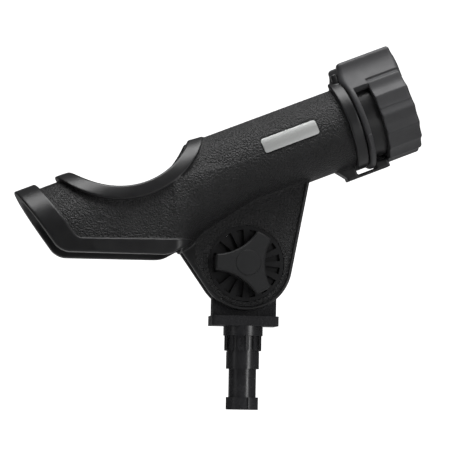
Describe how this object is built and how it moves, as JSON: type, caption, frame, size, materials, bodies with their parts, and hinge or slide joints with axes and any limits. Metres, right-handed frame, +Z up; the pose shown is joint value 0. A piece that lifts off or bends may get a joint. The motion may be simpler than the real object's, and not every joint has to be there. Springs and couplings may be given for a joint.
{
  "type": "rod holder",
  "caption": "Fishing rod holder: open-top tube and reel cradle with a twist lock ring, on a knob-clamped tilting head and a splined post.",
  "frame": {"origin": "centre of the flat lower end face of the mounting post", "axes": "+Z up the post, +X the way the tube's mouth points, clamp knob on the -Y side"},
  "size_m": [0.2731, 0.0674, 0.2445],
  "materials": {
    "body_plastic": "pebble-grained black nylon with smooth satin bands",
    "disc_plastic": "satin black",
    "ring_plastic": "smooth satin black",
    "knob_plastic": "fine matt dark grey",
    "post_plastic": "semi-gloss black",
    "badge_metal": "satin silver with a dark edge",
    "steel": "stainless",
    "brass": "machined"
  },
  "bodies": {
    "post": {"mount_post": "post_plastic"},
    "holder": {"holder_body": "body_plastic", "tooth_disc_near": "disc_plastic", "tooth_disc_far": "disc_plastic", "badge_near": "badge_metal", "badge_far": "badge_metal", "pivot_bolt": "steel"},
    "knob_carrier": {"knob_washer": "steel"},
    "knob": {"knob_body": "knob_plastic", "knob_insert": "brass", "knob_cap": "knob_plastic"},
    "ring": {"lock_ring": "ring_plastic"}
  },
  "joints": [
    {"name": "tilt", "type": "hinge", "parent": "post", "child": "holder", "pos_m": [0, 0, 0.0965], "axis": [0, 1, 0], "range_deg": [-45, 67.5]},
    {"name": "knob_travel", "type": "slide", "parent": "holder", "child": "knob_carrier", "axis": [0, -1, 0], "range_m": [0, 0.00187]},
    {"name": "knob_turn", "type": "hinge", "parent": "knob_carrier", "child": "knob", "pos_m": [0, 0, 0.0965], "axis": [0, -1, 0], "range_deg": [0, 540]},
    {"name": "ring_turn", "type": "hinge", "parent": "holder", "child": "ring", "pos_m": [0.08722, 0, 0.20036], "axis": [0.9259, 0, 0.3778], "range_deg": [0, 110]}
  ],
  "couplings": [
    {"joint": "knob_turn", "follows": "knob_travel", "rad_per_m": 5026.5}
  ]
}
